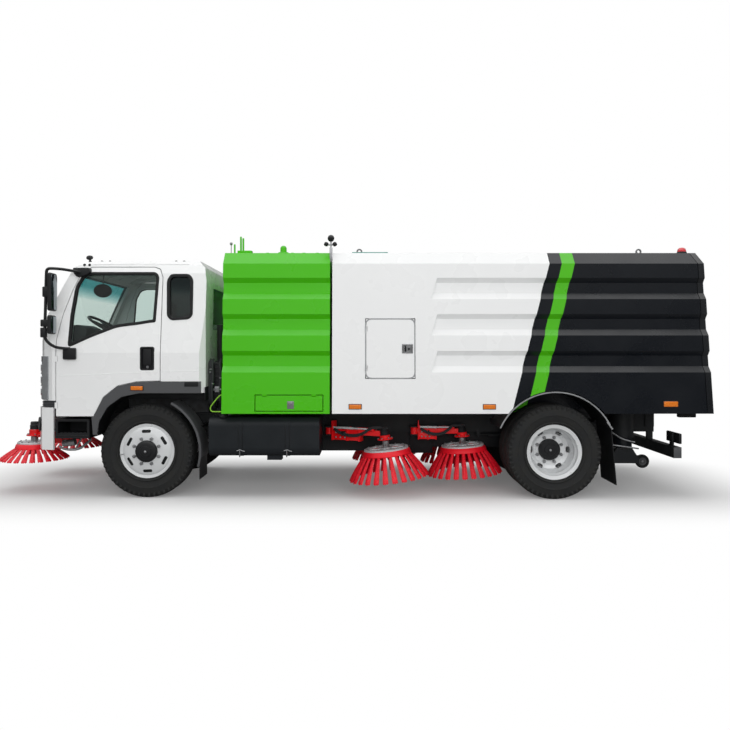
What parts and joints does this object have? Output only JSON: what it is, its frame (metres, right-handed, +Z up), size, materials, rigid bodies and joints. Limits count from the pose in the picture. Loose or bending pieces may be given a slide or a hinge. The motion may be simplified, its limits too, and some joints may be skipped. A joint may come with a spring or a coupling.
{
  "type": "street sweeper truck",
  "caption": "Two-axle cab-over road sweeper with tipping refuse tank, tail door, brushes on swing arms and a lifting suction nozzle.",
  "frame": {"origin": "on the ground, under the middle of the truck's box", "axes": "+X to the front of the truck, +Y to its left, +Z up"},
  "size_m": [7.53, 2.54, 2.718],
  "materials": {
    "white_paint": "gloss",
    "cab_paint": "gloss",
    "green_paint": "gloss",
    "dark_paint": "gloss",
    "chassis_black": "satin",
    "tank_black": "satin",
    "cast_engine": "cast",
    "red_paint": "gloss",
    "brush_red": "matte",
    "black_plastic": "matte",
    "grey_plastic": "textured",
    "interior_plastic": "grained",
    "window_glass": "clear",
    "lamp_lens": "clear",
    "tyre_rubber": "matte",
    "wheel_rubber": "matte",
    "rim_silver": "satin",
    "rod_chrome": "polished"
  },
  "bodies": {
    "chassis": {"chassis_frame": "chassis_black", "front_axle": "chassis_black", "rear_axle_and_shaft": "chassis_black", "leaf_springs": "chassis_black", "engine_blocks": "cast_engine", "side_tanks": "tank_black", "mudguards_and_aprons": "black_plastic", "cab_steps": "black_plastic", "front_bumper": "white_paint", "chassis_lamps": "lamp_lens", "underride_guard": "chassis_black", "intake_stack": "black_plastic", "module_shell": "green_paint", "module_fittings": "green_paint"},
    "cab": {"cab_shell": "cab_paint", "cab_glass": "window_glass", "cab_trim": "grey_plastic", "headlamps": "lamp_lens", "cab_interior": "interior_plastic"},
    "tie_rod": {"tie_rod": "chassis_black"},
    "module_hatch": {"module_hatch": "green_paint"},
    "tank": {"tank_shell": "white_paint", "tank_fittings": "white_paint"},
    "tail_door": {"tail_door": "dark_paint"},
    "access_door": {"access_door": "white_paint"},
    "tip_barrels": {"tip_barrels": "chassis_black"},
    "tip_rods": {"tip_rods": "rod_chrome"},
    "suction_nozzle": {"suction_nozzle": "dark_paint"},
    "nozzle_wheels": {"nozzle_wheels": "wheel_rubber"},
    "door_left": {"door_left": "cab_paint", "door_glass_left": "window_glass", "mirror_left": "black_plastic"},
    "knuckle_left": {"knuckle_left": "chassis_black"},
    "front_wheel_left": {"front_tyre_left": "tyre_rubber", "front_rim_left": "rim_silver"},
    "rear_wheels_left": {"rear_tyres_left": "tyre_rubber", "rear_rims_left": "rim_silver"},
    "front_arm_left": {"front_arm_left": "red_paint"},
    "front_brush_left": {"front_brush_left": "brush_red"},
    "outer_arm_left": {"outer_arm_left": "red_paint"},
    "outer_brush_left": {"outer_brush_left": "brush_red"},
    "inner_arm_left": {"inner_arm_left": "red_paint"},
    "inner_brush_left": {"inner_brush_left": "brush_red"},
    "door_right": {"door_right": "cab_paint", "door_glass_right": "window_glass", "mirror_right": "black_plastic"},
    "knuckle_right": {"knuckle_right": "chassis_black"},
    "front_wheel_right": {"front_tyre_right": "tyre_rubber", "front_rim_right": "rim_silver"},
    "rear_wheels_right": {"rear_tyres_right": "tyre_rubber", "rear_rims_right": "rim_silver"},
    "front_arm_right": {"front_arm_right": "red_paint"},
    "front_brush_right": {"front_brush_right": "brush_red"},
    "outer_arm_right": {"outer_arm_right": "red_paint"},
    "outer_brush_right": {"outer_brush_right": "brush_red"},
    "inner_arm_right": {"inner_arm_right": "red_paint"},
    "inner_brush_right": {"inner_brush_right": "brush_red"}
  },
  "joints": [
    {"name": "steer_left", "type": "hinge", "parent": "chassis", "child": "knuckle_left", "pos_m": [2.0195, 0.74, 0.483], "axis": [0, 0, 1], "range_deg": [-35, 35]},
    {"name": "front_wheel_spin_left", "type": "hinge", "parent": "knuckle_left", "child": "front_wheel_left", "pos_m": [2.0195, 0.87, 0.483], "axis": [0, 1, 0], "continuous": true},
    {"name": "rear_wheels_spin_left", "type": "hinge", "parent": "chassis", "child": "rear_wheels_left", "pos_m": [-2.1805, 0.825, 0.483], "axis": [0, 1, 0], "continuous": true},
    {"name": "door_swing_left", "type": "hinge", "parent": "cab", "child": "door_left", "pos_m": [2.9245, 1.034, 1.2], "axis": [0, 0, -1], "range_deg": [0, 65]},
    {"name": "steer_right", "type": "hinge", "parent": "chassis", "child": "knuckle_right", "pos_m": [2.0195, -0.74, 0.483], "axis": [0, 0, 1], "range_deg": [-35, 35]},
    {"name": "front_wheel_spin_right", "type": "hinge", "parent": "knuckle_right", "child": "front_wheel_right", "pos_m": [2.0195, -0.87, 0.483], "axis": [0, 1, 0], "continuous": true},
    {"name": "rear_wheels_spin_right", "type": "hinge", "parent": "chassis", "child": "rear_wheels_right", "pos_m": [-2.1805, -0.825, 0.483], "axis": [0, 1, 0], "continuous": true},
    {"name": "door_swing_right", "type": "hinge", "parent": "cab", "child": "door_right", "pos_m": [2.9245, -1.034, 1.2], "axis": [0, 0, 1], "range_deg": [0, 65]},
    {"name": "tie_rod_slide", "type": "slide", "parent": "chassis", "child": "tie_rod", "axis": [0, 1, 0], "range_m": [-0.107, 0.107]},
    {"name": "cab_tilt", "type": "hinge", "parent": "chassis", "child": "cab", "pos_m": [3.1245, 0, 0.99], "axis": [0, 1, 0], "range_deg": [0, 45]},
    {"name": "tank_tip", "type": "hinge", "parent": "chassis", "child": "tank", "pos_m": [-3.4205, 0, 0.845], "axis": [0, -1, 0], "range_deg": [0, 45]},
    {"name": "tail_door_swing", "type": "hinge", "parent": "tank", "child": "tail_door", "pos_m": [-3.6075, 0, 2.552], "axis": [0, 1, 0], "range_deg": [0, 85]},
    {"name": "access_door_swing", "type": "hinge", "parent": "tank", "child": "access_door", "pos_m": [-0.2555, 1.1052, 1.545], "axis": [0, 0.0587, -0.9983], "range_deg": [0, 110]},
    {"name": "module_hatch_swing", "type": "hinge", "parent": "chassis", "child": "module_hatch", "pos_m": [0.5295, 1.13342, 1.065], "axis": [1, 0, 0], "range_deg": [0, 90]},
    {"name": "tip_barrels_turn", "type": "hinge", "parent": "chassis", "child": "tip_barrels", "pos_m": [-2.6805, 0, 0.66], "axis": [0, -1, 0], "range_deg": [0, 60]},
    {"name": "tip_rods_extend", "type": "slide", "parent": "tip_barrels", "child": "tip_rods", "axis": [0.9854, 0, 0.1702], "range_m": [0, 0.48]},
    {"name": "front_arm_swing_left", "type": "hinge", "parent": "chassis", "child": "front_arm_left", "pos_m": [2.9495, 0.472, 0.6], "axis": [0, 0, 1], "range_deg": [0, 30]},
    {"name": "front_brush_spin_left", "type": "hinge", "parent": "front_arm_left", "child": "front_brush_left", "pos_m": [3.3935, 0.52, 0.53], "axis": [0, 0, 1], "continuous": true},
    {"name": "outer_arm_swing_left", "type": "hinge", "parent": "chassis", "child": "outer_arm_left", "pos_m": [0.1545, 0.482, 0.64], "axis": [0, 0, -1], "range_deg": [0, 30]},
    {"name": "outer_brush_spin_left", "type": "hinge", "parent": "outer_arm_left", "child": "outer_brush_left", "pos_m": [-0.4635, 0.79, 0.499], "axis": [0.1045, 0, 0.9945], "continuous": true},
    {"name": "inner_arm_swing_left", "type": "hinge", "parent": "chassis", "child": "inner_arm_left", "pos_m": [-0.7855, 0.472, 0.64], "axis": [0, 0, -1], "range_deg": [0, 30]},
    {"name": "inner_brush_spin_left", "type": "hinge", "parent": "inner_arm_left", "child": "inner_brush_left", "pos_m": [-1.3125, 0.52, 0.499], "axis": [0.0698, 0, 0.9976], "continuous": true},
    {"name": "front_arm_swing_right", "type": "hinge", "parent": "chassis", "child": "front_arm_right", "pos_m": [2.9495, -0.472, 0.6], "axis": [0, 0, -1], "range_deg": [0, 30]},
    {"name": "front_brush_spin_right", "type": "hinge", "parent": "front_arm_right", "child": "front_brush_right", "pos_m": [3.3935, -0.52, 0.53], "axis": [0, 0, 1], "continuous": true},
    {"name": "outer_arm_swing_right", "type": "hinge", "parent": "chassis", "child": "outer_arm_right", "pos_m": [0.1545, -0.482, 0.64], "axis": [0, 0, 1], "range_deg": [0, 30]},
    {"name": "outer_brush_spin_right", "type": "hinge", "parent": "outer_arm_right", "child": "outer_brush_right", "pos_m": [-0.4635, -0.79, 0.499], "axis": [0.1045, 0, 0.9945], "continuous": true},
    {"name": "inner_arm_swing_right", "type": "hinge", "parent": "chassis", "child": "inner_arm_right", "pos_m": [-0.7855, -0.472, 0.64], "axis": [0, 0, 1], "range_deg": [0, 30]},
    {"name": "inner_brush_spin_right", "type": "hinge", "parent": "inner_arm_right", "child": "inner_brush_right", "pos_m": [-1.3125, -0.52, 0.499], "axis": [0.0698, 0, 0.9976], "continuous": true},
    {"name": "nozzle_lift", "type": "slide", "parent": "chassis", "child": "suction_nozzle", "axis": [0, 0, -1], "range_m": [0, 0.2]},
    {"name": "nozzle_wheels_spin", "type": "hinge", "parent": "suction_nozzle", "child": "nozzle_wheels", "pos_m": [-3.2955, 0, 0.305], "axis": [0, 1, 0], "continuous": true}
  ],
  "couplings": [
    {"joint": "steer_right", "follows": "steer_left", "ratio": 1},
    {"joint": "tie_rod_slide", "follows": "steer_left", "m_per_rad": -0.1737},
    {"joint": "tip_barrels_turn", "follows": "tank_tip", "ratio": 1.3262},
    {"joint": "tip_rods_extend", "follows": "tank_tip", "m_per_rad": 0.6038},
    {"joint": "inner_arm_swing_left", "follows": "outer_arm_swing_left", "ratio": 1},
    {"joint": "inner_arm_swing_right", "follows": "outer_arm_swing_right", "ratio": 1}
  ]
}
